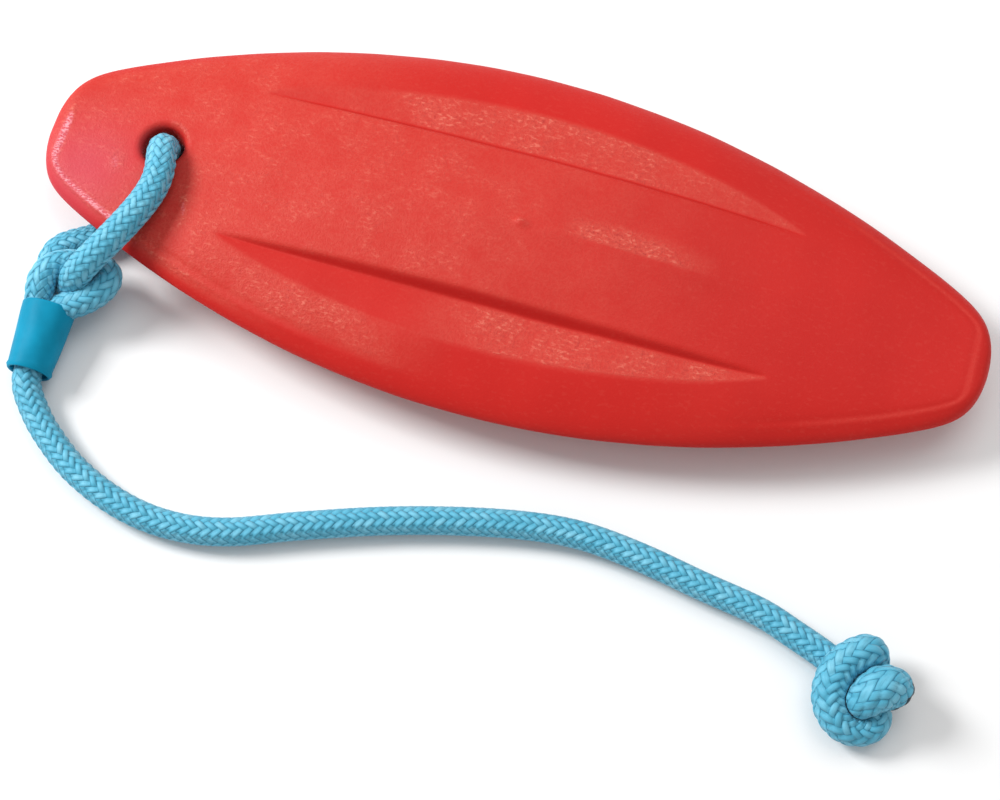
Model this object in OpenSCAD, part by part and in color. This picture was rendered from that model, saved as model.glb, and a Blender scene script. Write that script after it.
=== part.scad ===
// Small moulded foam float with a throwing rope: a surfboard-shaped body, a rope loop through
// the hole in its tail, and a line that is linked to the loop by an eye and ends in a knot.
// +X points to the nose, +Z is up, and the body rests on z = 0 with its middle over the origin.

/* [Float body] */
// Length from the tail to the nose
body_len = 302; // [280:1:320]
// Width across the widest part of the deck
body_w = 118; // [112:1:122]
// Height of the rail's widest line above the table, amidships
rail_z = 17; // [16:0.5:19]
// Height of the deck above the rail's widest line, amidships
crown_h = 16; // [14:0.5:18]
// Height of the deck above the rail's widest line, at the two ends
end_h = 4.2; // [3.5:0.1:5]
// How far the keel line rises at the two ends
rocker = 14.4; // [13.5:0.1:15]
// Depth that is cut off the belly to leave a flat rest
flat_cut = 1.2; // [0.8:0.1:1.6]

/* [Deck recesses] */
// Half the distance between the straight inner edges of the two recesses
recess_in = 23.5; // [22:0.5:25]
// Half the length of a recess
recess_half = 87; // [82:1:90]
// Depth of a recess at its inner wall, amidships
recess_depth = 3.9; // [2.5:0.1:4.5]
// Width of the recess floor, amidships
recess_w = 14; // [12:0.1:16]

/* [Rope hole] */
// Distance from the middle of the body to the hole in the tail
hole_x = 113.5; // [113:0.5:114]
// Diameter of the hole
hole_d = 13.4; // [13:0.1:14]
// Radius of the rounded rim at both mouths of the hole
rim_r = 2.6; // [2:0.1:3]

/* [Rope] */
// Diameter of the rope where it lies free
rope_d = 9; // [8.6:0.1:9]
// How much thinner the rope is where its strands press on each other
squeeze = 0.4; // [0.4:0.1:1]

/* [Sleeve] */
// Outer diameter at the end that holds the eye's two strands
sleeve_top_d = 16.5; // [16:0.1:16.8]
// Outer diameter at the end that the line leaves
sleeve_end_d = 13.4; // [13:0.1:13.6]
// Wall of the sleeve
sleeve_wall = 1; // [0.8:0.1:1.2]

/* [Hidden] */

half_len = body_len / 2;
outline_shift = 1.7;
outline_half = 179;
end_power = 44;
end_height_power = 70;
tip = 0.9995;
keel_power = 1.7;
belly_power = 2.2;
roundness = 0.6;
wall_lean = 0.7;
corner_gap = 0.15;
body_steps = 46;
rail_steps = 5;
belly_steps = 8;
tube_sides = 10;
loop_d = rope_d - squeeze;

// The loop of rope through the tail hole, in the order hole, over the rail, down through the eye,
// under the left strand of the eye and back below the tail. Its two ends meet inside the hole.
LOOP_ROUTE = [
    [-113.5, 0, 17], [-112.7, -2.4, 24.6], [-110.6, -7.8, 27.3], [-109.4, -14.3, 27.4],
    [-110.5, -21.5, 27.3], [-113.3, -29.6, 27], [-116.5, -36, 25.8], [-119.5, -41, 24.2],
    [-122.8, -45.4, 21.4], [-125.8, -48.3, 16.6], [-127.6, -49, 10.2], [-130.8, -48.6, 6],
    [-134.8, -46.9, 4.6], [-137.8, -44, 4.6], [-138.4, -40.2, 4.6], [-136.8, -36.4, 4.6],
    [-132.8, -33.4, 4.6], [-125.6, -28, 4.6], [-117.6, -16.6, 4.6], [-114, -5, 5.4],
    [-113.5, -0.4, 10.5], [-113.5, 0, 16.8]
];
// The eye of the throw line, from its left strand at the sleeve round to its right strand.
EYE_ROUTE = [
    [-136.6, -57.4, 9.4], [-137.2, -53.2, 12.2], [-136.9, -48.2, 13.9], [-134.4, -43.2, 13.9],
    [-129.5, -40.1, 13.9], [-123.6, -38.8, 13.9], [-118.4, -40, 13.9], [-115.6, -44.4, 13.9],
    [-116.6, -50.4, 13.7], [-121.3, -56.3, 12.3], [-127.6, -58.5, 9.4]
];
SLEEVE_TOP = [-132.1, -57.6, 8.5];
SLEEVE_END = [-131.4, -79.5, 6.9];
// The line from inside the sleeve along the table to the knot.
RUN_ROUTE = [
    [-132, -58.4, 8.3], [-131.5, -74, 6.9], [-130.6, -81.6, 5.4], [-127, -88, 4.6],
    [-120, -95.4, 4.6], [-107, -104.6, 4.6], [-90, -111.2, 4.6], [-73.6, -113.1, 4.6],
    [-57, -110.5, 4.6], [-36, -102.3, 4.6], [-13.5, -94.1, 4.6], [6.7, -88.1, 4.6],
    [27.3, -83.4, 4.6], [45.4, -81.4, 4.6], [64.5, -83, 4.6], [83.8, -86.4, 4.6],
    [102.7, -89.4, 4.6], [113, -92.8, 4.6], [121.5, -95.8, 4.6], [129, -99.3, 5.4]
];
// The stopper knot: a turn of rope that tilts up towards one side, and the lobe of its tail.
KNOT_CENTRE = [136.4, -105.6, 9.4];
KNOT_RISE = [0, 0, 30];
KNOT_LOBE = [143, -105, 12.4];
knot_tilt = 19;
knot_turn_r = 10;
knot_rope_d = 12;
knot_web = 8;
lobe_d = 16.4;

// Half the width of the outline at x, an almost symmetric lens with blunt, rounded ends.
function half_w(x) = body_w / 2 * (1 - pow((x + outline_shift) / outline_half, 2))
    * sqrt(1 - pow(abs(x) / half_len, end_power));
function end_fade(x) = sqrt(1 - pow(abs(x) / half_len, end_height_power));
function middle(x) = 1 - pow(x / half_len, 2);
function rail_line(x) = rail_z - 2 * pow(x / half_len, 2);
function deck_h(x) = (end_h + (crown_h - end_h) * pow(middle(x), 2)) * end_fade(x);
function keel_h(x) = (rail_line(x) + flat_cut - rocker * (1 - pow(middle(x), keel_power))) * end_fade(x);
function deck_power(x) = 1.45 + 3.8 * pow(x / half_len, 2);
function deck_z(x, y) = rail_line(x)
    + deck_h(x) * pow(max(0, 1 - pow(abs(y) / half_w(x), deck_power(x))), roundness);
function belly_z(x, y) = rail_line(x)
    - keel_h(x) * pow(max(0, 1 - pow(abs(y) / half_w(x), belly_power)), roundness);

// The recess at x, as depths and widths that fade to nothing at its two tips.
function recess_fade(x) = abs(x) < recess_half ? 1 - pow(x / recess_half, 2) : 0;
function inner_y(x) = abs(x) < recess_half ? recess_in
    : recess_in * half_w(x) / half_w(sign(x) * recess_half);
function wall_depth(x) = recess_depth * pow(recess_fade(x), 0.8);
function foot_y(x) = inner_y(x) + corner_gap + wall_lean * wall_depth(x);
function crease_y(x) = foot_y(x) + 2 * corner_gap + recess_w * pow(recess_fade(x), 0.9);
function floor_z(x, t) = (1 - t) * (deck_z(x, inner_y(x)) - wall_depth(x)) + t * deck_z(x, crease_y(x));

// One side of the section at x, from the middle of the deck out to the rail, as [y, z] pairs.
function deck_side(x) = concat(
    [for (t = [0.35, 0.7, 1]) [t * inner_y(x), deck_z(x, t * inner_y(x))]],
    [for (t = [0, 0.5, 1]) let (y = foot_y(x) + t * (crease_y(x) - foot_y(x))) [y, floor_z(x, t)]],
    [for (i = [1:rail_steps]) let (a = 90 * i / rail_steps,
        y = crease_y(x) + (half_w(x) - crease_y(x)) * sin(a)) [y, deck_z(x, y)]]
);
function belly_side(x) = [for (i = [1:belly_steps])
    let (y = half_w(x) * cos(90 * i / belly_steps)) [y, belly_z(x, y)]];
function section(x) = let (deck = deck_side(x), belly = belly_side(x), n = len(deck), m = len(belly))
    concat(
        [[x, 0, deck_z(x, 0)]],
        [for (p = deck) [x, p[0], p[1]]],
        [for (p = belly) [x, p[0], p[1]]],
        [for (i = [m - 2:-1:0]) [x, -belly[i][0], belly[i][1]]],
        [for (i = [n - 1:-1:0]) [x, -deck[i][0], deck[i][1]]]
    );

// Skin over rings of equal size, closed at both ends by triangles that meet in the ring's middle.
function mean(ring) = [for (p = ring) 1 / len(ring)] * ring;
module skin(rings) {
    n = len(rings[0]);
    last = (len(rings) - 1) * n;
    first_middle = last + n;
    last_middle = first_middle + 1;
    polyhedron(
        points = concat(
            [for (ring = rings) for (p = ring) p],
            [mean(rings[0]), mean(rings[len(rings) - 1])]
        ),
        faces = concat(
            [for (i = [0:n - 1]) [first_middle, (i + 1) % n, i]],
            [for (r = [0:n:last - n]) for (i = [0:n - 1]) let (
                a = r + i, b = r + (i + 1) % n, c = a + n, d = b + n) each [[a, d, c], [a, b, d]]],
            [for (i = [0:n - 1]) [last_middle, last + i, last + (i + 1) % n]]
        ),
        convexity = 8
    );
}

// Points of a smooth curve through a route, with n steps between each two of its points.
function curve_point(a, b, c, d, t) = 0.5 * ((2 * b) + (c - a) * t
    + (2 * a - 5 * b + 4 * c - d) * t * t + (3 * b - a - 3 * c + d) * t * t * t);
function smooth(route, n) = let (m = len(route), last = m - 1) concat(
    [for (i = [0:last - 1]) let (
        a = i > 0 ? route[i - 1] : 2 * route[0] - route[1],
        d = i + 2 < m ? route[i + 2] : 2 * route[last] - route[last - 1])
        for (k = [0:n - 1]) curve_point(a, route[i], route[i + 1], d, k / n)],
    [route[last]]
);
function unit(v) = v / norm(v);
function heading(points, i) = unit(points[min(i + 1, len(points) - 1)] - points[max(i - 1, 0)]);

// Frames carried along the curve without twist, so that neighbouring rings line up.
function carried(points, i, v) = i >= len(points) ? [] : let (
    dir = heading(points, i), side = unit(v - (v * dir) * dir))
    concat([side], carried(points, i + 1, side));
function ring(middle, r, side, top) = [for (k = [0:tube_sides - 1])
    let (a = 360 * k / tube_sides) middle + r * (cos(a) * side + sin(a) * top)];
module rope_tube(points, d) {
    sides = carried(points, 0, [0.3, 0.2, 1]);
    skin([for (i = [0:len(points) - 1])
        ring(points[i], d / 2, sides[i], cross(sides[i], heading(points, i)))]);
}

// Turns +Z onto the direction from one point to another and moves there.
module along(from, to) {
    dir = unit(to - from);
    translate(from) rotate([0, acos(dir[2]), atan2(dir[1], dir[0])]) children();
}

// Cutter for the rope hole: a straight bore that widens in a quarter circle at both mouths.
module hole_cutter() {
    top = deck_z(-hole_x, 0);
    bottom = belly_z(-hole_x, 0);
    mouth_r = hole_d / 2 + rim_r;
    over = 8;
    translate([-hole_x, 0, 0]) rotate_extrude($fn = 64) difference() {
        translate([0, bottom - over]) square([mouth_r, top - bottom + 2 * over]);
        translate([mouth_r, top - rim_r]) circle(r = rim_r, $fn = 32);
        translate([mouth_r, bottom + rim_r]) circle(r = rim_r, $fn = 32);
        translate([hole_d / 2, bottom + rim_r]) square([rim_r + 1, top - bottom - 2 * rim_r]);
    }
}

module float_body() {
    xs = [for (i = [0:body_steps]) let (t = 2 * i / body_steps - 1) half_len * tip * sin(90 * t)];
    color([0.82, 0.16, 0.14]) difference() {
        skin([for (x = xs) section(x)]);
        translate([-half_len, -body_w, -20]) cube([body_len, 2 * body_w, 20]);
        hole_cutter();
    }
}

module hole_loop() {
    color([0.3, 0.68, 0.8]) rope_tube(smooth(LOOP_ROUTE, 2), loop_d);
}

module line_eye() {
    color([0.3, 0.68, 0.8]) rope_tube(smooth(EYE_ROUTE, 2), loop_d);
}

module rope_sleeve() {
    length = norm(SLEEVE_END - SLEEVE_TOP);
    top_r = sleeve_top_d / 2;
    end_r = sleeve_end_d / 2;
    color([0.1, 0.55, 0.7]) along(SLEEVE_TOP, SLEEVE_END) rotate_extrude($fn = 48)
        polygon([[top_r - sleeve_wall, 0], [top_r, 0], [end_r, length], [end_r - sleeve_wall, length]]);
}

module line_run() {
    color([0.3, 0.68, 0.8]) rope_tube(RUN_ROUTE, rope_d);
}

module stopper_knot() {
    color([0.28, 0.65, 0.78]) union() {
        translate(KNOT_CENTRE) rotate(KNOT_RISE) rotate([knot_tilt, 0, 0]) rotate_extrude($fn = 48) {
            translate([knot_turn_r, 0]) circle(d = knot_rope_d, $fn = 32);
            translate([0, -knot_web / 2]) square([knot_turn_r, knot_web]);
        }
        translate(KNOT_LOBE) sphere(d = lobe_d, $fn = 48);
    }
}

float_body();
hole_loop();
line_eye();
rope_sleeve();
line_run();
stopper_knot();
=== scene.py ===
"""Looks of the throw float: a moulded foam body, a braided loop in its tail and a knotted throw line."""
import math

import bmesh
import bpy
import numpy as np
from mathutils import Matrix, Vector


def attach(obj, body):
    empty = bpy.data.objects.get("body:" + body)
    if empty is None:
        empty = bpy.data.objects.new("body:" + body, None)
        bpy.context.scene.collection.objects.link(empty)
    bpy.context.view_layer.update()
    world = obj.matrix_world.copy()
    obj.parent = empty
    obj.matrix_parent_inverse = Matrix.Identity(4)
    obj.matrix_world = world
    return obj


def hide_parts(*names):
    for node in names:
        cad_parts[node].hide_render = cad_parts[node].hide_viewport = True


MM = 0.001

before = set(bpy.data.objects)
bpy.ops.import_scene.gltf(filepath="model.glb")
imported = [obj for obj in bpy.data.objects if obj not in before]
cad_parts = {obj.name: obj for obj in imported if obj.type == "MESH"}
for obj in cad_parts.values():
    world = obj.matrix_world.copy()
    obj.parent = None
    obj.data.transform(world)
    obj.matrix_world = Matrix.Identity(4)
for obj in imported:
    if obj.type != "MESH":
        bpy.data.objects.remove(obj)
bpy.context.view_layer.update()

# ---------------------------------------------------------------- sizes, in millimetres

# The float's outline: half its length and width, the lens that its long sides follow, and how square
# its ends are cut.
HALF_LEN = 151.0
HALF_WIDTH = 59.0
OUTLINE_SHIFT = 1.7
OUTLINE_HALF = 179.0
OUTLINE_END_POWER = 44
# The float from the side: its rail above the table, its deck above the rail in the middle and at the
# ends, how its belly lifts and where it rests, and how round the rail and the ends are.
RAIL_Z = 17.0
CROWN_H = 16.0
END_H = 4.2
ROCKER = 14.4
FLAT_CUT = 1.2
REST_Z = 0.02
RAIL_POWER = 0.6
SIDE_END_POWER = 70

# The two recesses: their inner edge from the middle line, half their length, depth and floor width.
RECESS_IN = 23.5
RECESS_HALF = 87.0
RECESS_DEPTH = 3.9
RECESS_FLOOR = 14.0

# The hole in the tail and its rounded rims, and the patches of the skin's grid that they replace.
HOLE_X = -113.5
HOLE_R = 6.7
RIM_R = 2.6
PATCH_HALF = 13.6
PATCH_COLUMNS = 20

# The rope and its braid: how far the strands stand out, how deep the gaps are, and the mesh's rows
# round and along each strand.
ROPE_R = 4.5
BRAID_COLUMNS = 8
BRAID_PITCH = 3.05
BRAID_PROUD = 0.05
BRAID_DEPTH = 0.52
ROWS_ROUND = 10
ROWS_ALONG = 7
# A strand's shape in the braid: the part of a half wave that it rises and falls by, how much narrower
# it is where it dives, and how full its section is.
ARCH_START = 0.08
ARCH_PART = 0.84
ARCH_POWER = 0.6
DIVE_NARROWING = 0.38
STRAND_FILL = 1.96
STRAND_POWER = 2.6
# Its cut ends: their rounding, and the rows that are melted and near-black with painted shade.
END_ROUND = 2.2
MELTED_SHADED_ROWS = 6
# Where ropes press on each other: the gap left between them, the most that a strand is flattened, how
# far away nothing touches, and how near along one rope its own strands are left alone. On the table
# the lowest strands are flattened too.
PRESSED_SHARE = 0.985
FLATTEST = 0.3
FAR_AWAY = 40
OWN_REACH = 15
LOWEST_Z = 0.12

# The loop through the hole: up out of it, over the rail, down through the eye and back below the tail.
LOOP_SWELL = 1.06
LOOP_ROUTE = [
    (-112.8, 0.4, 17), (-112.4, -2.2, 24.6), (-110.5, -7.8, 27.3), (-109.4, -14.3, 27.4),
    (-110.5, -21.5, 27.3), (-113.3, -29.6, 27), (-116.5, -36, 25.8), (-119.5, -41, 24.2),
    (-122.8, -45.4, 21.4), (-125.8, -48.3, 16.6), (-127.6, -49, 10.2), (-130.8, -48.6, 6),
    (-134.8, -46.9, 4.6), (-137.8, -43.8, 4.6), (-138.6, -39.6, 4.6), (-137.2, -35.6, 4.6),
    (-133, -32.6, 4.6), (-125.8, -27.6, 4.6), (-117.6, -16.6, 4.6), (-114, -4.4, 5.4),
    (-112, 1, 10.5), (-112.7, 0.5, 16.8),
]
# The throw line, with its thickness as a share of the rope's: the end inside the sleeve, the eye,
# back through the sleeve, along the table, and the stopper knot with its tail.
LINE_END = [(-134.2, -70, 7.6, 0.66), (-135.2, -63, 8.2, 0.76)]
EYE_ROUTE = [
    (-135.5, -57.4, 9.4, 1), (-136.5, -52.6, 12.6, 1.04), (-136, -48, 13.9, 1), (-133.4, -44.4, 13.2, 1),
    (-129.2, -42.4, 11.8, 1), (-123.4, -41.2, 11.2, 1), (-118.6, -41.8, 11.6, 1), (-116.4, -44.8, 12.6, 1),
    (-117.6, -49.2, 13, 1), (-122.2, -53.9, 12, 1.03), (-128.9, -57.3, 9.6, 1),
]
SLEEVE_PASS = [(-129.8, -63, 8.2, 0.8), (-131, -71, 7.6, 0.9)]
RUN_ROUTE = [
    (-131.9, -78.6, 6.6, 1), (-130.4, -84, 5.4, 1), (-126, -89.5, 4.6, 1),
    (-120, -95.4, 4.6, 1), (-107, -104.6, 4.6, 1), (-90, -111.2, 4.6, 1), (-73.6, -113.1, 4.6, 1),
    (-57, -110.5, 4.6, 1), (-36, -102.3, 4.6, 1), (-13.5, -94.1, 4.6, 1), (6.7, -88.1, 4.6, 1),
    (27.3, -83.4, 4.6, 1), (45.4, -81.4, 4.6, 1), (64.5, -83, 4.6, 1), (83.8, -86.4, 4.6, 1),
    (102.7, -89.4, 4.6, 1), (113, -92.8, 4.6, 1),
]
KNOT_ROUTE = [
    (121.5, -95.8, 4.6, 1), (125.4, -97.4, 4.8, 1), (129, -99.3, 5.2, 1), (132.6, -101.6, 6.4, 1),
    (136.4, -104.6, 8, 1), (139.8, -107, 7.6, 1), (142.6, -109, 6.6, 1), (143.9, -112, 5.4, 1),
    (142.3, -115, 4.9, 1), (139, -116.7, 5, 1.02), (134.7, -116.9, 5.8, 1.1), (130.6, -114, 7.2, 1.22),
    (128.4, -109.8, 8.6, 1.28), (128, -105.4, 10, 1.28), (129.6, -99.9, 11.4, 1.26), (133.2, -96.4, 12, 1.25),
    (136.2, -93.9, 11.4, 1.2), (138.2, -94, 8.4, 1.08), (139.2, -97.2, 5.4, 0.95), (138.8, -101.4, 4.4, 0.9),
    (136.2, -104.6, 4.3, 0.95), (135, -107.4, 5, 1.05), (136, -109, 7.6, 1.15), (137.6, -109.2, 11, 1.25),
    (139.2, -107.4, 13.2, 1.38), (141.2, -104.9, 13.8, 1.5), (143.6, -103.1, 12.6, 1.5),
    (145.8, -103, 10.4, 1.42), (147, -103.6, 8, 1.36),
]
# The sleeve's axis, from its wide end at the eye to its narrow end, and its radii and wall.
SLEEVE_TOP = Vector((-132.1, -57.6, 8.5))
SLEEVE_END = Vector((-131.4, -79.5, 6.9))
SLEEVE_TOP_R = 8.25
SLEEVE_END_R = 6.7
SLEEVE_WALL = 1.0


# ---------------------------------------------------------------- camera

def add_camera():
    """Looks steeply down from the throw line's side, from a little nearer the nose."""
    azimuth = math.radians(16.38)
    elevation = math.radians(68)
    distance = 0.7
    target = Vector((9.57, -44.47, 0)) * MM
    towards = Vector((
        -math.sin(azimuth) * math.cos(elevation),
        math.cos(azimuth) * math.cos(elevation),
        -math.sin(elevation),
    ))
    data = bpy.data.cameras.new("camera")
    data.sensor_width = 36
    data.lens = 81.5
    data.clip_start = 0.01
    data.clip_end = 20
    camera = bpy.data.objects.new("camera", data)
    bpy.context.scene.collection.objects.link(camera)
    camera.location = target - towards * distance
    camera.rotation_euler = towards.to_track_quat("-Z", "Y").to_euler()
    bpy.context.scene.camera = camera


# ---------------------------------------------------------------- helpers

def rise(value, low, high):
    """A smooth step from 0 below low to 1 above high."""
    t = np.clip((value - low) / (high - low), 0, 1)
    return t * t * (3 - 2 * t)


def bell(offset, width):
    """A soft peak, 1 where the offset is 0."""
    return np.exp(-(offset / width) ** 2)


def soft_max(a, b, k):
    """The larger of the two, blended where they are within k of each other."""
    h = np.clip(0.5 + 0.5 * (a - b) / k, 0, 1)
    return b + (a - b) * h + k * h * (1 - h)


def soft_min(a, b, k):
    return -soft_max(-a, -b, k)


def clean_up(mesh, merge_within=0.0):
    """Merges points within a distance in metres, drops points without a face, and turns faces outward."""
    build = bmesh.new()
    build.from_mesh(mesh)
    if merge_within:
        bmesh.ops.remove_doubles(build, verts=build.verts, dist=merge_within)
    loose = [vert for vert in build.verts if not vert.link_faces]
    bmesh.ops.delete(build, geom=loose, context="VERTS")
    bmesh.ops.recalc_face_normals(build, faces=build.faces)
    build.to_mesh(mesh)
    build.free()


def smooth_piece(name, mesh):
    """An object in the scene with the mesh, shaded smooth."""
    mesh.polygons.foreach_set("use_smooth", [True] * len(mesh.polygons))
    piece = bpy.data.objects.new(name, mesh)
    bpy.context.scene.collection.objects.link(piece)
    return piece


# ---------------------------------------------------------------- rope

def spline(route, step):
    """A smooth curve through the route, as points a fixed step of arc length apart."""
    p = np.array(route, float)
    p = np.vstack([2 * p[0] - p[1], p, 2 * p[-1] - p[-2]])
    fine = []
    t = np.linspace(0, 1, 40, endpoint=False)[:, None]
    for a, b, c, d in zip(p[:-3], p[1:-2], p[2:-1], p[3:]):
        fine.append(0.5 * (2 * b + (c - a) * t + (2 * a - 5 * b + 4 * c - d) * t ** 2
                           + (3 * b - a - 3 * c + d) * t ** 3))
    fine = np.vstack(fine + [p[-2:-1]])
    return resample(fine, step)


def resample(points, step):
    """The same line, as points a fixed step of its length apart."""
    gaps = np.linalg.norm(np.diff(points[:, :3], axis=0), axis=1)
    along = np.concatenate([[0], np.cumsum(gaps)])
    count = int(round(along[-1] / step)) + 1
    at = np.linspace(0, along[-1], count)
    return np.stack([np.interp(at, along, points[:, k]) for k in range(points.shape[1])], axis=1)


def relax(points, rounds):
    """Rounds off the small kinks of a spline, and keeps its two ends."""
    for _ in range(rounds):
        points[1:-1] = 0.5 * points[1:-1] + 0.25 * (points[:-2] + points[2:])
    return points


def carried_frames(points):
    """Two side directions at each point of a line, carried along it without twist."""
    tangent = np.gradient(points, axis=0)
    tangent /= np.linalg.norm(tangent, axis=1)[:, None]
    side = np.zeros_like(points)
    # any direction across the first tangent will do
    v = np.cross(tangent[0], [0.2, 0.3, 1.0])
    for i, t in enumerate(tangent):
        v = v - t * (v @ t)
        v = v / np.linalg.norm(v)
        side[i] = v
    return side, np.cross(tangent, side)


def braid_height(u, v):
    """Height from 0 in the gaps to 1 on the strands of a braid where each strand passes over two."""
    a = u - v
    b = u + v
    kind = np.mod(np.floor(a) + np.floor(b), 4)
    fa = a - np.floor(a)
    fb = b - np.floor(b)
    first = kind < 2
    across = np.where(first, fa, fb) - 0.5
    along = np.where(first, (fb + kind) / 2, (fa + kind - 2) / 2)
    arch = np.sin(np.pi * (ARCH_START + ARCH_PART * along)) ** ARCH_POWER
    narrow = 1 - DIVE_NARROWING + DIVE_NARROWING * arch
    dome = np.sqrt(np.clip(1 - np.abs(STRAND_FILL * across / narrow) ** STRAND_POWER, 0, 1))
    return dome * arch


def press_apart(verts, own, own_swell, other, other_swell, apart=None):
    """Flattens strands where two lines press on each other, at a plane between them that their
    thicknesses share out; apart marks the pairs that are too near along one line to touch."""
    # a few thousand points at a time, to spare memory
    at_once = 4000
    for start in range(0, len(verts), at_once):
        part = slice(start, start + at_once)
        gap = np.linalg.norm(verts[part][:, None, :] - other[None], axis=2)
        if apart is not None:
            own_along, other_along, skip = apart
            gap[np.abs(own_along[part][:, None] - other_along[None]) < skip] = np.inf
        pick = gap.argmin(axis=1)
        across = other[pick] - own[part]
        out = verts[part] - own[part]
        share = own_swell[part] / (own_swell[part] + other_swell[pick])
        reach = np.maximum(np.sum(out * across, axis=1), 1e-9)
        limit = share * np.sum(across * across, axis=1) / reach
        limit = np.where(gap.min(axis=1) > FAR_AWAY, 1, limit)
        verts[part] = own[part] + out * np.clip(limit * PRESSED_SHARE, FLATTEST, 1)[:, None]
    return verts


def rope_surface(centre, swell, step, rivals):
    """Points of a braided rope round its centreline, row by row, flattened where it meets a rope."""
    around = BRAID_COLUMNS * ROWS_ROUND
    rings = len(centre)
    side, top = carried_frames(centre)
    angle = np.linspace(0, 2 * np.pi, around, endpoint=False)
    u = np.tile(angle / (2 * np.pi) * BRAID_COLUMNS, (rings, 1))
    v = np.tile((np.arange(rings) / ROWS_ALONG)[:, None], (1, around))
    radius = (ROPE_R + BRAID_PROUD - BRAID_DEPTH * (1 - braid_height(u, v))) * swell[:, None]
    # the two ends round off
    edge = np.minimum(np.arange(rings), np.arange(rings)[::-1]) * step
    radius = radius * np.sqrt(np.clip(1 - (1 - np.clip(edge / END_ROUND, 0, 1)) ** 2, 0.03, 1))[:, None]
    out = np.cos(angle)[None, :, None] * side[:, None, :] + np.sin(angle)[None, :, None] * top[:, None, :]
    verts = (centre[:, None, :] + radius[..., None] * out).reshape(-1, 3)
    own = np.repeat(centre, around, axis=0)
    own_swell = np.repeat(swell, around)
    along = np.arange(rings) * step
    # every third point of a centreline is near enough
    itself = (np.repeat(along, around), along[::3], OWN_REACH)
    verts = press_apart(verts, own, own_swell, centre[::3], swell[::3], itself)
    for rival in rivals:
        verts = press_apart(verts, own, own_swell, rival[::3], np.ones(len(rival[::3])))
    verts[:, 2] = np.maximum(verts[:, 2], LOWEST_Z)
    return verts


def rope_mesh(name, route, rivals):
    """A braided rope along the route: its centreline, and a closed mesh with the strands as relief."""
    around = BRAID_COLUMNS * ROWS_ROUND
    step = BRAID_PITCH / ROWS_ALONG
    line = spline(route, step)
    line[:, :3] = relax(line[:, :3], rounds=60)
    line = resample(line, step)
    centre = line[:, :3]
    verts = rope_surface(centre, line[:, 3], step, rivals)
    rings = len(centre)
    i, k = np.meshgrid(np.arange(rings - 1), np.arange(around), indexing="ij")
    k2 = (k + 1) % around
    faces = np.stack([i * around + k, i * around + k2, (i + 1) * around + k2, (i + 1) * around + k], axis=-1)
    faces = faces.reshape(-1, 4)
    corners = [(k, i), (k + 1, i), (k + 1, i + 1), (k, i + 1)]
    uv = np.stack([np.stack(corner, -1) for corner in corners], axis=2).reshape(-1, 2) / ROWS_ALONG
    caps = [list(range(around))[::-1], list(range((rings - 1) * around, rings * around))]
    mesh = bpy.data.meshes.new(name)
    mesh.from_pydata((verts * MM).tolist(), [], faces.tolist() + caps)
    layer = mesh.uv_layers.new(name="braid")
    flat = np.zeros((len(mesh.loops), 2))
    flat[:len(uv)] = uv
    layer.data.foreach_set("uv", flat.ravel())
    # the line's cut end is melted and painted near-black as shade: its last few rows and the caps take the
    # second material
    melted_shaded = np.zeros(len(mesh.polygons), np.int32)
    melted_shaded[-len(caps) - MELTED_SHADED_ROWS * around:] = 1
    mesh.polygons.foreach_set("material_index", melted_shaded)
    return smooth_piece(name, mesh), centre


# ---------------------------------------------------------------- materials

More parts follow.
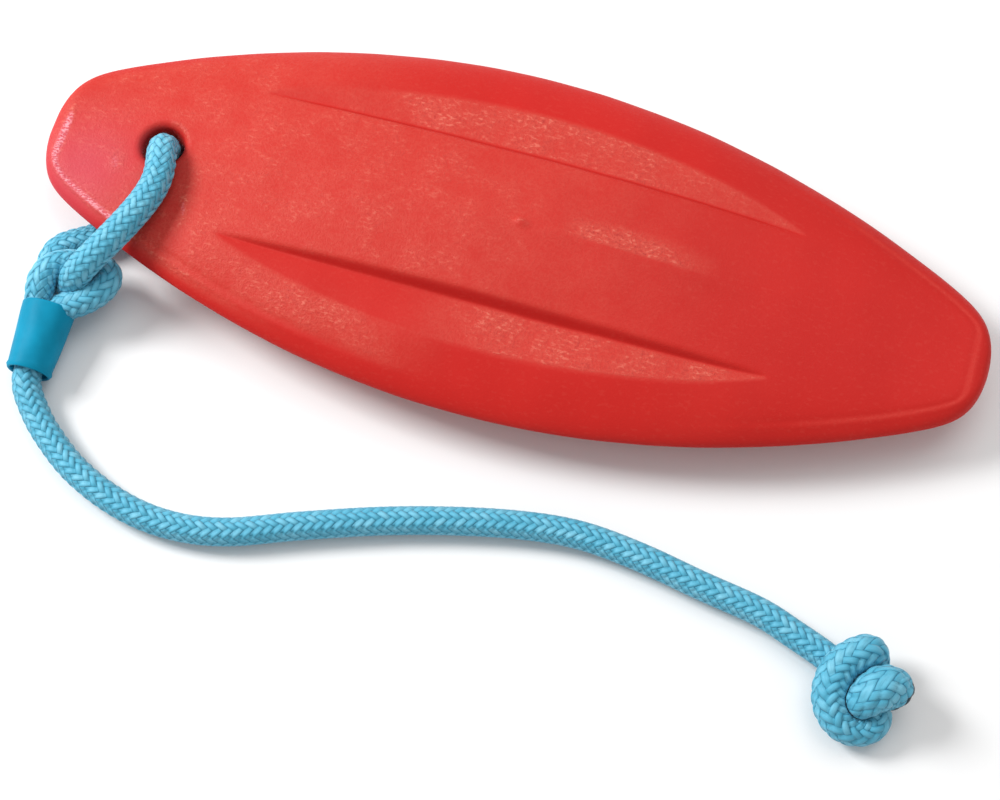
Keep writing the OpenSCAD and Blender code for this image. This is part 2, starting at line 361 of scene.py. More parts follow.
class Nodes:
    """Short calls for building one material's node tree."""

    def __init__(self, name):
        self.material = bpy.data.materials.new(name)
        self.material.use_nodes = True
        self.tree = self.material.node_tree
        self.shader = self.tree.nodes["Principled BSDF"]

    def add(self, kind, **settings):
        node = self.tree.nodes.new(kind)
        for key, value in settings.items():
            setattr(node, key, value)
        return node

    def feed(self, socket, value):
        """Links an output to the socket, or sets the socket to a plain value."""
        if isinstance(value, bpy.types.NodeSocket):
            self.tree.links.new(value, socket)
        else:
            socket.default_value = value

    def math(self, operation, *values):
        node = self.add("ShaderNodeMath", operation=operation)
        for socket, value in zip(node.inputs, values):
            self.feed(socket, value)
        return node.outputs[0]

    def place(self):
        """Where a point is on its object, in metres."""
        return self.add("ShaderNodeTexCoord").outputs["Object"]

    def attribute(self, name):
        return self.add("ShaderNodeAttribute", attribute_name=name).outputs["Fac"]

    def stretched(self, vector, factors):
        node = self.add("ShaderNodeVectorMath", operation="MULTIPLY")
        self.feed(node.inputs[0], vector)
        node.inputs[1].default_value = factors
        return node.outputs[0]

    def joined(self, x, y, z=0.0):
        node = self.add("ShaderNodeCombineXYZ")
        for socket, value in zip(node.inputs, (x, y, z)):
            self.feed(socket, value)
        return node.outputs[0]

    def ramp(self, factor, *stops):
        node = self.add("ShaderNodeValToRGB")
        self.feed(node.inputs[0], factor)
        elements = node.color_ramp.elements
        while len(elements) < len(stops):
            elements.new(0.5)
        for element, (at, color) in zip(elements, stops):
            element.position = at
            element.color = (*color, 1)
        return node.outputs[0]

    def spread(self, factor, low, high, out_low=0.0, out_high=1.0):
        """Maps low to high onto out_low to out_high, and stays at those ends outside them."""
        node = self.add("ShaderNodeMapRange")
        for socket, value in zip(node.inputs, (factor, low, high, out_low, out_high)):
            self.feed(socket, value)
        return node.outputs[0]

    def mix(self, factor, a, b):
        node = self.add("ShaderNodeMix", data_type="RGBA")
        self.feed(node.inputs[0], factor)
        for socket, color in ((node.inputs[6], a), (node.inputs[7], b)):
            self.feed(socket, (*color, 1) if isinstance(color, tuple) else color)
        return node.outputs[2]

    def noise(self, vector, scale, detail=4.0, roughness=0.55):
        node = self.add("ShaderNodeTexNoise")
        self.feed(node.inputs["Vector"], vector)
        node.inputs["Scale"].default_value = scale
        node.inputs["Detail"].default_value = detail
        node.inputs["Roughness"].default_value = roughness
        return node.outputs["Fac"]

    def bump(self, height, distance, strength=1.0, normal=None):
        node = self.add("ShaderNodeBump")
        node.inputs["Strength"].default_value = strength
        node.inputs["Distance"].default_value = distance
        self.feed(node.inputs["Height"], height)
        if normal is not None:
            self.feed(node.inputs["Normal"], normal)
        return node.outputs["Normal"]

    def finish(self, color, roughness, normal, specular=0.5):
        """Feeds the shader's main sockets and returns the material."""
        self.feed(self.shader.inputs["Base Color"], color)
        self.feed(self.shader.inputs["Roughness"], roughness)
        self.feed(self.shader.inputs["Normal"], normal)
        self.shader.inputs["Specular IOR Level"].default_value = specular
        return self.material


def rope_material():
    """Braided strands: each cell has its own tone, fine filaments along it and painted shade darkening the
    gaps round it.

    The braid is worked out from the mesh's braid coordinates just as braid_height does it."""
    n = Nodes("braided_rope")
    uv = n.add("ShaderNodeUVMap", uv_map="braid").outputs[0]
    split = n.add("ShaderNodeSeparateXYZ")
    n.feed(split.inputs[0], uv)
    u, v = split.outputs[0], split.outputs[1]
    a = n.math("SUBTRACT", u, v)
    b = n.math("ADD", u, v)
    cell_a, cell_b = n.math("FLOOR", a), n.math("FLOOR", b)
    kind = n.math("FLOORED_MODULO", n.math("ADD", cell_a, cell_b), 4.0)
    second = n.math("GREATER_THAN", kind, 1.5)
    first = n.math("SUBTRACT", 1.0, second)
    fa, fb = n.math("SUBTRACT", a, cell_a), n.math("SUBTRACT", b, cell_b)

    def choose(x, y):
        return n.math("ADD", n.math("MULTIPLY", first, x), n.math("MULTIPLY", second, y))

    across = choose(fa, fb)
    part = n.math("SUBTRACT", kind, n.math("MULTIPLY", second, 2.0))
    along = n.math("MULTIPLY", n.math("ADD", choose(fb, fa), part), 0.5)
    strand = choose(cell_a, n.math("ADD", cell_b, 57.0))
    run = n.math("SUBTRACT", choose(b, a), n.math("MULTIPLY", along, 2.0))

    arch_turn = n.math("MULTIPLY", n.math("ADD", n.math("MULTIPLY", along, ARCH_PART), ARCH_START), math.pi)
    arch = n.math("POWER", n.math("SINE", arch_turn), ARCH_POWER)
    narrow = n.math("ADD", n.math("MULTIPLY", arch, DIVE_NARROWING), 1 - DIVE_NARROWING)
    off = n.math("MULTIPLY", n.math("ABSOLUTE", n.math("SUBTRACT", across, 0.5)), STRAND_FILL)
    slope = n.math("POWER", n.math("DIVIDE", off, narrow), STRAND_POWER)
    dome = n.math("SQRT", n.math("MAXIMUM", n.math("SUBTRACT", 1.0, slope), 0.0))
    height = n.math("MULTIPLY", dome, arch)

    tone_cell = n.add("ShaderNodeVectorMath", operation="SNAP")
    n.feed(tone_cell.inputs[0], n.joined(strand, run))
    tone_cell.inputs[1].default_value = (0.5, 0.5, 1)
    white = n.add("ShaderNodeTexWhiteNoise", noise_dimensions="3D")
    n.feed(white.inputs["Vector"], tone_cell.outputs[0])
    tone = white.outputs[0]

    along_fibre = n.joined(n.math("MULTIPLY", across, 9.0), n.math("MULTIPLY", along, 1.3),
                           n.math("MULTIPLY", strand, 7.3))
    fibre = n.noise(along_fibre, 1.6, 3.0, 0.6)
    dirt = n.noise(n.place(), 70.0, 3.0)

    # light blue strands with painted shade darkening them into the gaps, then each cell paler or duller,
    # fibre lines and dirt
    shade = n.ramp(height, (0.04, (0.018, 0.17, 0.30)), (0.3, (0.066, 0.36, 0.52)),
                   (0.7, (0.10, 0.445, 0.62)), (1.0, (0.14, 0.51, 0.70)))
    pale = n.math("MULTIPLY", n.spread(tone, 0.45, 1.0, 0.0, 0.5), height)
    light = n.mix(pale, shade, (0.29, 0.64, 0.78))
    duller = n.mix(n.spread(tone, 0.0, 0.4, 0.3, 0.0), light, (0.045, 0.31, 0.46))
    lines = n.mix(n.spread(fibre, 0.3, 0.7, 0.32, 0.0), duller, (0.03, 0.25, 0.38))
    color = n.mix(n.spread(dirt, 0.35, 0.75, 0.0, 0.22), lines, (0.05, 0.33, 0.48))
    n.shader.inputs["Sheen Weight"].default_value = 0.15
    n.shader.inputs["Sheen Roughness"].default_value = 0.4
    coarse = n.bump(height, 0.00045, 0.8)
    normal = n.bump(fibre, 0.00012, 0.6, coarse)
    return n.finish(color, n.spread(fibre, 0.2, 0.8, 0.42, 0.62), normal, specular=0.3)


def melted_shaded_end_material():
    """The melted end of the rope: glossy and lumpy, and near-black as painted shade on the end face."""
    n = Nodes("melted_end_painted_shade")
    lumps = n.noise(n.place(), 700.0, 3.0)
    color = n.ramp(lumps, (0.3, (0.004, 0.012, 0.02)), (0.7, (0.01, 0.06, 0.09)))
    return n.finish(color, n.spread(lumps, 0.3, 0.7, 0.25, 0.5), n.bump(lumps, 0.0004, 0.8))


def foam_material():
    """Moulded foam skin: smooth deep red, with a chalky wrinkled bloom on the parts that rub, and painted
    glints, highlights, sheen and shade carried with it.
    """
    n = Nodes("foam_skin")
    place = n.place()
    bloom_and_painted_light_here, painted_sheen_here = n.attribute("bloom_and_painted_light"), n.attribute("pink_painted_sheen")
    drawn = n.stretched(place, (0.55, 1, 1))
    broad = n.noise(place, 22.0, 3.0)
    cloud = n.noise(place, 110.0, 4.0)
    worms = n.math("ABSOLUTE", n.math("SUBTRACT", n.noise(place, 640.0, 3.0, 0.6), 0.5))
    wrinkle = n.spread(worms, 0.0, 0.12, 1.0, 0.0)
    fine = n.noise(place, 1900.0, 3.0, 0.6)
    strokes = n.noise(drawn, 1000.0, 3.0, 0.55)
    marks = n.noise(drawn, 1900.0, 3.0, 0.6)

    # red, turning chalky with the bloom, and paler where painted highlights and sheen ride on it
    amount = n.math("MULTIPLY", bloom_and_painted_light_here, n.spread(cloud, 0.3, 0.65, 0.6, 1.15))
    deep = n.ramp(broad, (0.3, (0.485, 0.012, 0.009)), (0.72, (0.535, 0.016, 0.012)))
    chalky = n.mix(n.spread(wrinkle, 0.3, 1.0, 0.0, 0.26), (0.55, 0.053, 0.037), (0.65, 0.135, 0.092))
    skin = n.mix(amount, deep, chalky)

    # pale and dark flecks, mostly where it is roughest
    rough_part = n.spread(amount, 0.5, 1.0, 0.06, 1.0)
    pale_part = n.math("MULTIPLY", n.spread(strokes, 0.55, 0.68, 0.0, 0.52), rough_part)
    dark_part = n.math("MULTIPLY", n.spread(strokes, 0.45, 0.34, 0.0, 0.6), rough_part)
    flecked = n.mix(dark_part, n.mix(pale_part, skin, (0.80, 0.25, 0.175)), (0.40, 0.03, 0.026))

    # painted sheen: pinker at the near corner of the tail; painted highlights: a pink tint and bright glints
    # where the bloom goes above 1
    painted_glint_share = n.spread(bloom_and_painted_light_here, 1.06, 1.5)
    sheen_pinker = n.mix(n.math("MULTIPLY", painted_sheen_here, 0.55), flecked, (0.58, 0.075, 0.115))
    highlight_tinted = n.mix(n.math("MULTIPLY", painted_glint_share, 0.5), sheen_pinker, (0.66, 0.11, 0.15))
    painted_glints = n.math("MULTIPLY", n.spread(marks, 0.46, 0.6, 0.0, 0.85), painted_glint_share)
    color = n.mix(painted_glints, highlight_tinted, (0.84, 0.38, 0.43))

    wrinkled = n.math("MULTIPLY", wrinkle, n.spread(amount, 0.0, 1.0, 0.05, 0.55))
    height = n.math("ADD", wrinkled, n.math("MULTIPLY", fine, 0.35))
    grain = n.math("ADD", height, n.math("MULTIPLY", n.math("MULTIPLY", strokes, 1.9), rough_part))
    return n.finish(color, n.spread(fine, 0.3, 0.7, 0.4, 0.58), n.bump(grain, 0.00018, 0.7), specular=0.16)


def sleeve_material():
    """Satin plastic sleeve, slightly uneven in its tone and surface."""
    n = Nodes("sleeve_plastic")
    place = n.place()
    soft = n.noise(place, 120.0, 3.0)
    fine = n.noise(place, 1400.0, 4.0)
    color = n.ramp(soft, (0.3, (0.001, 0.215, 0.355)), (0.7, (0.002, 0.265, 0.435)))
    height = n.math("ADD", soft, n.math("MULTIPLY", fine, 0.15))
    return n.finish(color, n.spread(fine, 0.3, 0.7, 0.48, 0.6), n.bump(height, 0.0002, 0.3), specular=0.1)


# ---------------------------------------------------------------- float body

def half_width(x):
    """The outline: a lens with rounded ends."""
    lens = HALF_WIDTH * (1 - ((x + OUTLINE_SHIFT) / OUTLINE_HALF) ** 2)
    return lens * np.sqrt(np.clip(1 - np.abs(x / HALF_LEN) ** OUTLINE_END_POWER, 0, 1))


def end_fade(x):
    """1 along the float, falling to 0 where its ends round off."""
    return np.sqrt(np.clip(1 - np.abs(x / HALF_LEN) ** SIDE_END_POWER, 0, 1))


def rail_line(x):
    """Height of the rail, which drops a little towards the ends."""
    return RAIL_Z - 2 * (x / HALF_LEN) ** 2


def plain_deck(x, y):
    """The deck without its recesses."""
    middle = 1 - (x / HALF_LEN) ** 2
    height = (END_H + (CROWN_H - END_H) * middle ** 2) * end_fade(x)
    power = 1.45 + 3.8 * (x / HALF_LEN) ** 2
    share = np.clip(np.abs(y) / half_width(x), 0, 1)
    return rail_line(x) + height * np.clip(1 - share ** power, 0, 1) ** RAIL_POWER


def belly(x, y):
    """The underside, rounded from rail to rail, which lifts towards the ends and rests flat."""
    middle = 1 - (x / HALF_LEN) ** 2
    depth = (rail_line(x) + FLAT_CUT - ROCKER * (1 - middle ** 1.7)) * end_fade(x)
    share = np.clip(np.abs(y) / half_width(x), 0, 1)
    z = rail_line(x) - depth * np.clip(1 - share ** 2.2, 0, 1) ** RAIL_POWER
    return soft_max(z, REST_Z, 0.4)


def recess_fade(x):
    """1 in the middle of a recess's length, falling to 0 at its two points."""
    return np.clip(1 - (x / RECESS_HALF) ** 2, 0, 1)


def inner_line(x):
    """Where a recess's wall starts, from the middle line; past the recess it follows the outline."""
    edge = np.sign(x) * RECESS_HALF
    bow = 0.5 + np.where(x < 0, 1.3, 0.2) * np.minimum(np.abs(x) / RECESS_HALF, 1) ** 2
    return np.where(np.abs(x) < RECESS_HALF, RECESS_IN, RECESS_IN * half_width(x) / half_width(edge)) + bow


def wall_depth(x):
    """How deep a recess is at its wall."""
    return RECESS_DEPTH * recess_fade(x) ** 0.8


def foot_line(x):
    """Where the wall meets the recess's floor."""
    return inner_line(x) + 0.15 + 0.7 * wall_depth(x)


def crease_line(x):
    """Where the floor meets the outer deck."""
    return foot_line(x) + 0.3 + RECESS_FLOOR * recess_fade(x) ** 0.9


def edge_gap(x, side):
    """Distance in from the deck's outline, rounded at the corners of the tail and the nose."""
    return soft_min(half_width(x) - side, HALF_LEN - np.abs(x), 3)


def with_recess(x, side, base):
    """The deck's height, sunk to the recess's floor between its wall and its crease."""
    inner, foot, crease = inner_line(x), foot_line(x), crease_line(x)
    low = plain_deck(x, inner) - wall_depth(x)
    high = plain_deck(x, crease)
    floor = low + (high - low) * (side - foot) / (crease - foot)
    softness = np.where(x > 0, 0.35, 0.35 + 2.2 * np.clip(-x / 40, 0, 1)) * recess_fade(x) + 0.05
    sunk = soft_min(base, floor, softness)
    step = rise(np.clip((side - inner + 1.1) / (foot - inner + 1.3), 0, 1) ** 1.5, 0, 1)
    return np.where(np.abs(x) < RECESS_HALF, base + (sunk - base) * step, base)


def edge_bead(x, y):
    """A fine bead and groove along the near edge of the tail and, fainter, round the nose."""
    gap = edge_gap(x, np.abs(y))
    bead = 0.22 * bell(gap - 4.6, 0.9) - 0.3 * bell(gap - 6.3, 0.9)
    near = np.clip(0.5 - y / 20, 0, 1)
    at_tail = np.clip((-x - 25) / 40, 0, 1) * near
    at_nose = 0.36 * np.clip((x - 60) / 40, 0, 1)
    return bead * np.where(x < 0, at_tail, at_nose)


def deck(x, y):
    """Height of the deck with its two mirrored recesses, its crest, its edge bead and the moulding mark."""
    side = np.abs(y)
    mark = 0.9 * bell(x - 3, 1.9) * bell(y - 0.3, 1.3)
    crest = 0.35 * bell(y, 3) * np.clip((x - 2) / 12, 0, 1) * np.clip((95 - x) / 40, 0, 1)
    return with_recess(x, side, plain_deck(x, side)) + mark + crest + edge_bead(x, y)


def broad_bloom(x, y):
    """Bloom of the middle of the deck, the tail, the recesses' floors and the bands outside them; the near
    band on the tail half is painted sheen.
    """
    side = np.abs(y)
    near_side = y < 0
    inset = half_width(x) - side
    crease = crease_line(x)
    middle = 0.62 - 0.62 * rise(x, -30, 105)
    tail = 0.64 * rise(-x, 95, 118) * rise(inset, 1.5, 4)
    value = np.maximum(middle, tail)
    near_floor = 0.12 + 0.7 * rise(x, -30, 5)
    far_floor = 0.45 + 0.37 * rise(x, -75, -30) - 0.25 * rise(x, 30, 80)
    floor = np.where(near_side, near_floor, far_floor)
    in_recess = np.abs(x) < RECESS_HALF
    in_floor = in_recess * rise(side - foot_line(x), -0.6, 0.6) * rise(crease - side, -0.8, 0.8)
    value = value * (1 - in_floor) + floor * in_floor
    # painted sheen: the near band outside the recess, lighter on the tail half
    painted_near_sheen = 0.75 * rise(-x, 0, 45) * rise(inset, 4.5, 8)
    band = np.where(near_side, painted_near_sheen, 0.3 * rise(-x, 10, 70))
    past_floor = rise(side - crease, -0.8, 0.8) * rise(RECESS_HALF + 8 - np.abs(x), 0, 45)
    return value * (1 - past_floor) + band * past_floor


def edge_bloom_and_highlights(x, y):
    """Bloom along the deck's edge: a lighter band inside the tail half's near edge, a painted highlight along
    the tail's rounded edge, and a fine painted highlight line round the nose.
    """
    gap = edge_gap(x, np.abs(y))
    band = rise(gap, 1.2, 2.4) * rise(6 - gap, 0, 1.6) * (y < 0) * rise(-x, 60, 90) * rise(x + 118, 0, 14)
    # painted highlight along the tail's rounded deck edge, pale like a scuff
    tail_edge_highlight = bell(gap - 5.2, 2.5) * rise(-x, 100, 120) * rise(14 - y, 0, 14)
    # painted highlight: a faint pale line along the nose's edge ridge
    line = bell(gap - 5.5, 0.8) * rise(x, 92, 110)
    return np.maximum(0.85 * band, np.maximum(1.55 * tail_edge_highlight, 0.3 * line))


def painted_glint_patches(x, y):
    """Painted glints and highlights in small patches: the crest, behind and before the hole, the hole's rim
    and the moulding mark.
    """
    crest = rise(y, 0, 1) * rise(13 - y, 0, 10) * rise(x, 6, 24) * rise(72 - x, 0, 30)
    behind_hole = bell(x + 126, 5) * bell(y + 9, 7)
    before_hole = bell(x + 99.5 + 0.25 * (y + 20), 2.6) * bell(y + 20, 8)
    hole_rim_highlight = bell(np.hypot(x - HOLE_X, y) - 8.2, 1.3) * rise(x - HOLE_X, -3, 2) * rise(y, 0, 4)
    mark = bell(x - 2.2, 1.4) * bell(y - 0.9, 0.8)
    # all of these are painted glints and highlights, lifted near or above 1 to take the glint colour
    patches = [1.05 * crest, 1.2 * behind_hole, 1.2 * before_hole, 1.4 * hole_rim_highlight, 1.45 * mark]
    return np.maximum.reduce(patches)


def bloom_and_painted_light(x, y, z):
    """How chalky the skin is: 0 on the rails, 1 on the roughest deck and above 1 where painted glints and
    highlights go; painted sheen and painted shade ride on it too.

    The belly has a faint, even bloom."""
    side = np.abs(y)
    value = np.maximum.reduce([broad_bloom(x, y), edge_bloom_and_highlights(x, y), painted_glint_patches(x, y)])
    # painted shade: the recess walls lose their bloom and stay the darker deep red
    painted_shade_wall = rise(side - inner_line(x), -0.5, 1.2) * rise(foot_line(x) - side, -0.9, 0.6)
    value = value * (1 - (np.abs(x) < RECESS_HALF) * painted_shade_wall)
    on_deck = rise(z - rail_line(x), 1.5, 4)
    return value * on_deck + 0.25 * rise(rail_line(x) - z, 3, 8)


def painted_sheen_pinkness(x, y):
    """How much the light red turns pink round the near corner of the tail: a painted sheen."""
    return bell(x + 136, 18) * bell(y + 14, 17)


def ripple(x, y, z):
    """A smooth, seeded unevenness of about a tenth of a millimetre."""
    rng = np.random.default_rng(7)
    total = np.zeros_like(x)
    for _ in range(14):
        wave = rng.normal(size=3)
        wave *= 2 * np.pi / rng.uniform(14, 45) / np.linalg.norm(wave)
        total += np.sin(wave[0] * x + wave[1] * y + wave[2] * z + rng.uniform(0, 2 * np.pi))
    return 0.035 * total


def stations():
    """Places along the length: evenly spread, and closer where the ends round off."""
    even_half = 136
    main = np.linspace(-even_half, even_half, 2 * even_half + 1)
    turn = np.linspace(0, np.pi / 2, 23)[1:]
    end = even_half + (HALF_LEN * 0.99985 - even_half) * np.sin(turn)
    return np.concatenate([-end[::-1], main, end])


def deck_rows(x):
    """Places across one half of the deck that follow the recess's edges."""
    width = half_width(x)
    inner = inner_line(x)
    foot = np.maximum(foot_line(x), inner + np.minimum(1.4, 0.05 * width))
    crease = np.maximum(crease_line(x), foot + np.minimum(5, 0.12 * width))
    rows = [inner * t for t in np.linspace(0, 1, 35)[:-1]]
    rows += [inner + (foot - inner) * t for t in np.linspace(0, 1, 13)[:-1]]
    rows += [foot + (crease - foot) * t for t in np.linspace(0, 1, 19)[:-1]]
    rows += [crease + (width - crease) * math.sin(t) for t in np.linspace(0, math.pi / 2, 27)[:-1]]
    return np.stack(rows, axis=1)


class Skin:
    """The float's points, their bloom with its painted light, and its faces, gathered ring by ring."""

    def __init__(self):
        self.verts = []
        self.bloom_and_light_values = []
        self.faces = []

    def add_ring(self, x, y, z, amount):
        """Adds a ring of points with their bloom and painted light, and returns their numbers."""
        start = len(self.verts)
        self.verts.extend(zip(x, y, z))
        self.bloom_and_light_values.extend(np.broadcast_to(amount, len(x)))
        return list(range(start, len(self.verts)))

    def bridge(self, a, b, left_open=()):
        """Joins two rings of as many points by a band of faces, apart from the places left open."""
        for k in range(len(a)):
            if k not in left_open:
                m = (k + 1) % len(a)
                self.faces.append((a[k], a[m], b[m], b[k]))

    def close(self, ring, tip):
        """Joins a ring to one point."""
        for k in range(len(ring)):
            self.faces.append((ring[k], ring[(k + 1) % len(ring)], tip))

    def about_hole(self, loop):
        """How far each point of a loop is from the hole's axis, and its angle round it."""
        xy = np.array([self.verts[k][:2] for k in loop]) - (HOLE_X, 0)
        return np.linalg.norm(xy, axis=1), np.unwrap(np.arctan2(xy[:, 1], xy[:, 0]))


def add_stations(skin, xs):
    """Adds one ring per station, from the deck's middle out to the rail, under to the keel and back.

    Returns the rings and the keel's place in them."""
    rows = deck_rows(xs)
    under = np.stack([half_width(xs) * math.cos(t) for t in np.linspace(0, math.pi / 2, 61)], axis=1)
    y = np.hstack([rows, under, -under[:, -2::-1], -rows[:, :0:-1]])
    x = np.repeat(xs[:, None], y.shape[1], axis=1)
    keel = rows.shape[1] + under.shape[1] - 1
    on_deck = np.abs(np.arange(y.shape[1]) - keel) >= under.shape[1]
    z = np.where(on_deck, deck(x, y), belly(x, y))
    bloom_and_light_values = bloom_and_painted_light(x, y, z)
    lifted = z + ripple(x, y, z) * np.clip(z / 3, 0, 1)
    return [skin.add_ring(*ring) for ring in zip(x, y, lifted, bloom_and_light_values)], keel


def patch_loop(rings, first, last, middle):
    """The points round a patch of the grid, from ring first to ring last, about one place in the rings."""
    low, high = middle - PATCH_COLUMNS, middle + PATCH_COLUMNS
    turn = [(first, c) for c in range(low, high)]
    turn += [(i, high) for i in range(first, last)]
    turn += [(last, c) for c in range(high, low, -1)]
    turn += [(i, low) for i in range(last, first, -1)]
    return [rings[i][c % len(rings[i])] for i, c in turn]


def lined_up(skin, top_loop, low_loop):
    """The lower loop, turned the same way about the hole as the upper one and starting at its start."""
    low_loop = [low_loop[0]] + low_loop[:0:-1]
    top_turn = skin.about_hole(top_loop)[1]
    low_turn = skin.about_hole(low_loop)[1]
    if (top_turn[-1] - top_turn[0]) * (low_turn[-1] - low_turn[0]) < 0:
        raise RuntimeError("the two loops round the hole turn opposite ways")
    shift = int(np.argmin(np.abs(np.angle(np.exp(1j * (low_turn - top_turn[0]))))))
    return low_loop[shift:] + low_loop[:shift]


def add_hole(skin, top_loop, low_loop):
    """Fills the two patches: the deck round the hole, its rounded rims and wall, and the belly round it."""
    mouth = HOLE_R + RIM_R
    top_reach, top_turn = skin.about_hole(top_loop)
    low_reach, low_turn = skin.about_hole(low_loop)
    low_turn += 2 * np.pi * round((top_turn[0] - low_turn[0]) / (2 * np.pi))
    rings = []

    def circle(radius, turn):
        return HOLE_X + radius * np.cos(turn), radius * np.sin(turn)

    def rim(turn, surface, sign, angle):
        x, y = circle(mouth - RIM_R * math.sin(angle), turn)
        return x, y, surface(x, y) - sign * RIM_R * (1 - math.cos(angle))

    def add(x, y, z, amount, uneven=True):
        rings.append(skin.add_ring(x, y, z + ripple(x, y, z) if uneven else z, amount))

    for t in np.linspace(0, 1, 9)[1:]:
        x, y = circle(top_reach * (1 - t) + mouth * t, top_turn)
        z = deck(x, y)
        add(x, y, z, bloom_and_painted_light(x, y, z) * (1 - 0.3 * t))
    for angle in np.linspace(0, math.pi / 2, 11)[1:]:
        x, y, z = rim(top_turn, deck, 1, angle)
        add(x, y, z, bloom_and_painted_light(x, y, deck(x, y)) * 0.7 * math.cos(angle))
    wall_top = np.array([skin.verts[k][2] for k in rings[-1]])
    wall_foot = rim(low_turn, belly, -1, math.pi / 2)[2]
    for t in np.linspace(0, 1, 6)[1:-1]:
        x, y = circle(HOLE_R, top_turn * (1 - t) + low_turn * t)
        add(x, y, wall_top * (1 - t) + wall_foot * t, 0.3, uneven=False)
    for angle in np.linspace(math.pi / 2, 0, 11):
        x, y, z = rim(low_turn, belly, -1, angle)
        add(x, y, z, 0.3)
    for t in np.linspace(1, 0, 9)[1:-1]:
        x, y = circle(low_reach * (1 - t) + mouth * t, low_turn)
        add(x, y, belly(x, y), 0.35)
    chain = [top_loop] + rings + [low_loop]
    for a, b in zip(chain[:-1], chain[1:]):
        skin.bridge(a, b)


def float_mesh():
    """The whole skin of the float: a grid of rings, with the hole let into it, closed at both ends."""
    skin = Skin()
    xs = stations()
    rings, keel = add_stations(skin, xs)
    count = len(rings[0])
    patch = [i for i, x in enumerate(xs) if abs(x - HOLE_X) <= PATCH_HALF]
    first, last = patch[0], patch[-1]
    cut = {(middle + c) % count for middle in (0, keel) for c in range(-PATCH_COLUMNS, PATCH_COLUMNS)}
    for i in range(len(xs) - 1):
        skin.bridge(rings[i], rings[i + 1], cut if first <= i < last else ())
    top_loop = patch_loop(rings, first, last, 0)
    add_hole(skin, top_loop, lined_up(skin, top_loop, patch_loop(rings, first, last, keel)))
    for ring, x in ((rings[0], xs[0]), (rings[-1], xs[-1])):
        tip = skin.add_ring([x], [0], [float(rail_line(x))], 0.1)[0]
        skin.close(ring, tip)

    mesh = bpy.data.meshes.new("float_body_skin")
    places = np.array(skin.verts)
    mesh.from_pydata((places * MM).tolist(), [], skin.faces)
    # the painted pink sheen, kept to the upper parts of the skin
    painted_sheen_values = painted_sheen_pinkness(places[:, 0], places[:, 1]) * (places[:, 2] > 10)
    for name, values in (("bloom_and_painted_light", skin.bloom_and_light_values), ("pink_painted_sheen", painted_sheen_values)):
        mesh.attributes.new(name, "FLOAT", "POINT").data.foreach_set("value", np.array(values, np.float32))
    clean_up(mesh, merge_within=1e-6)
    return smooth_piece("float_body_skin", mesh)


# ---------------------------------------------------------------- sleeve

def sleeve_profile(length):
    """Radius and place along the sleeve, out over its outside with a bead near its end, and back inside."""
    lip = SLEEVE_WALL / 2
    profile = []
    for t in np.linspace(0, math.pi, 9):
        profile.append((SLEEVE_TOP_R - lip - lip * math.cos(t), lip - lip * math.sin(t)))
    for t in np.linspace(0, 1, 22)[1:-1]:
        radius = SLEEVE_TOP_R + (SLEEVE_END_R - SLEEVE_TOP_R) * t ** 1.15
        profile.append((radius + 0.35 * bell(t - 0.955, 0.022), length * t))
    for t in np.linspace(0, math.pi, 9):
        profile.append((SLEEVE_END_R + 0.1 - lip + lip * math.cos(t), length - lip + lip * math.sin(t)))
    for t in np.linspace(1, 0, 12)[1:-1]:
        profile.append((SLEEVE_TOP_R + (SLEEVE_END_R - SLEEVE_TOP_R) * t - SLEEVE_WALL, length * t))
    return profile


def sleeve_mesh():
    """A tapered tube with rounded lips and a slightly oval, slightly uneven section."""
    around = 96
    axis = SLEEVE_END - SLEEVE_TOP
    direction = axis.normalized()
    side = direction.cross(Vector((0, 0, 1))).normalized()
    up = side.cross(direction)
    profile = sleeve_profile(axis.length)
    verts = []
    for radius, along in profile:
        for k in range(around):
            turn = 2 * math.pi * k / around
            wave = 1 + 0.012 * math.sin(3 * turn + along * 0.2) + 0.006 * math.sin(7 * turn - along * 0.35)
            flat = side * math.cos(turn) * 1.02 + up * math.sin(turn) * 0.97
            verts.append((SLEEVE_TOP + direction * along + flat * radius * wave) * MM)
    faces = []
    for i in range(len(profile)):
        j = (i + 1) % len(profile)
        for k in range(around):
            m = (k + 1) % around
            faces.append((i * around + k, i * around + m, j * around + m, j * around + k))
    mesh = bpy.data.meshes.new("sleeve_shell")
    mesh.from_pydata(verts, [], faces)
    clean_up(mesh)
    return smooth_piece("sleeve_shell", mesh)


# ---------------------------------------------------------------- stage

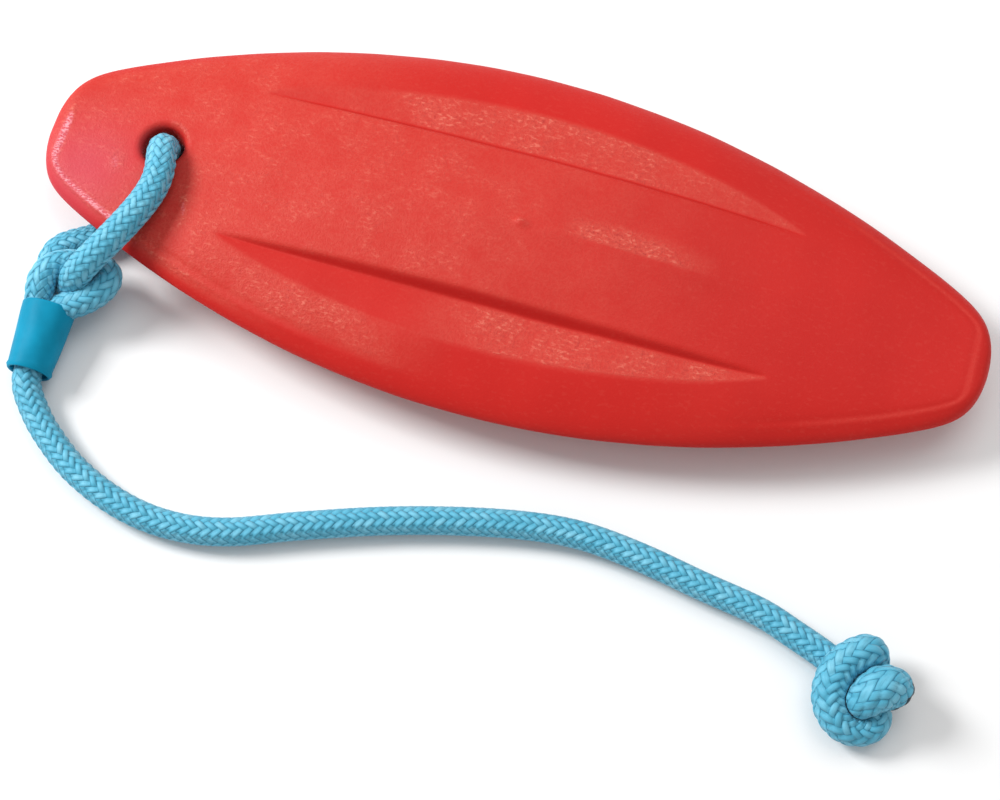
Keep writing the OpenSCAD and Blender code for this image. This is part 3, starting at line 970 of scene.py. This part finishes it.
def add_floor():
    """A plain pale floor."""
    half = 3.0
    mesh = bpy.data.meshes.new("floor")
    corners = [(-half, -half, 0), (half, -half, 0), (half, half, 0), (-half, half, 0)]
    mesh.from_pydata(corners, [], [(0, 1, 2, 3)])
    floor = bpy.data.objects.new("floor", mesh)
    bpy.context.scene.collection.objects.link(floor)
    n = Nodes("floor_paint")
    n.shader.inputs["Base Color"].default_value = (0.86, 0.86, 0.86, 1)
    n.shader.inputs["Roughness"].default_value = 0.8
    mesh.materials.append(n.material)


def add_light(name, place, size, power):
    """A square area light that faces the float."""
    data = bpy.data.lights.new(name, "AREA")
    data.size = size
    data.energy = power
    light = bpy.data.objects.new(name, data)
    light.location = place
    light.rotation_euler = (-Vector(place)).to_track_quat("-Z", "Y").to_euler()
    bpy.context.scene.collection.objects.link(light)


def add_studio():
    """A soft key light from behind the tail, a weak fill, and an even white surround."""
    bpy.context.scene.view_settings.view_transform = "Standard"
    world = bpy.data.worlds.new("studio")
    world.use_nodes = True
    background = world.node_tree.nodes["Background"]
    background.inputs[0].default_value = (1, 1, 1, 1)
    background.inputs[1].default_value = 0.55
    bpy.context.scene.world = world
    add_light("key", (-1.3, 0.12, 1.05), 0.6, 27)
    add_light("fill", (0.2, 0.5, 1.1), 0.9, 4)


# ---------------------------------------------------------------- build

add_camera()

# each rope is pressed flat where it meets the other one's centreline
loop_line = relax(spline(LOOP_ROUTE, 0.5), rounds=20)
throw_route = LINE_END + EYE_ROUTE + SLEEVE_PASS + RUN_ROUTE + KNOT_ROUTE
throw_line = relax(spline(throw_route, 0.5)[:, :3], rounds=20)
loop_rope, loop_path = rope_mesh("loop_rope", [(*p, LOOP_SWELL) for p in LOOP_ROUTE], [throw_line])
throw_rope, throw_path = rope_mesh("throw_rope", throw_route, [loop_line])
body = float_mesh()
sleeve = sleeve_mesh()
add_floor()
add_studio()

rope_look = rope_material()
melted_shaded_end_look = melted_shaded_end_material()
for rope in (loop_rope, throw_rope):
    rope.data.materials.append(rope_look)
    rope.data.materials.append(melted_shaded_end_look)
body.data.materials.append(foam_material())
sleeve.data.materials.append(sleeve_material())

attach(body, "board")
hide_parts("float_body")

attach(loop_rope, "loop")
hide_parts("hole_loop")

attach(sleeve, "line")
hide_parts("rope_sleeve")

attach(throw_rope, "line")
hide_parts("line_eye", "line_run", "stopper_knot")
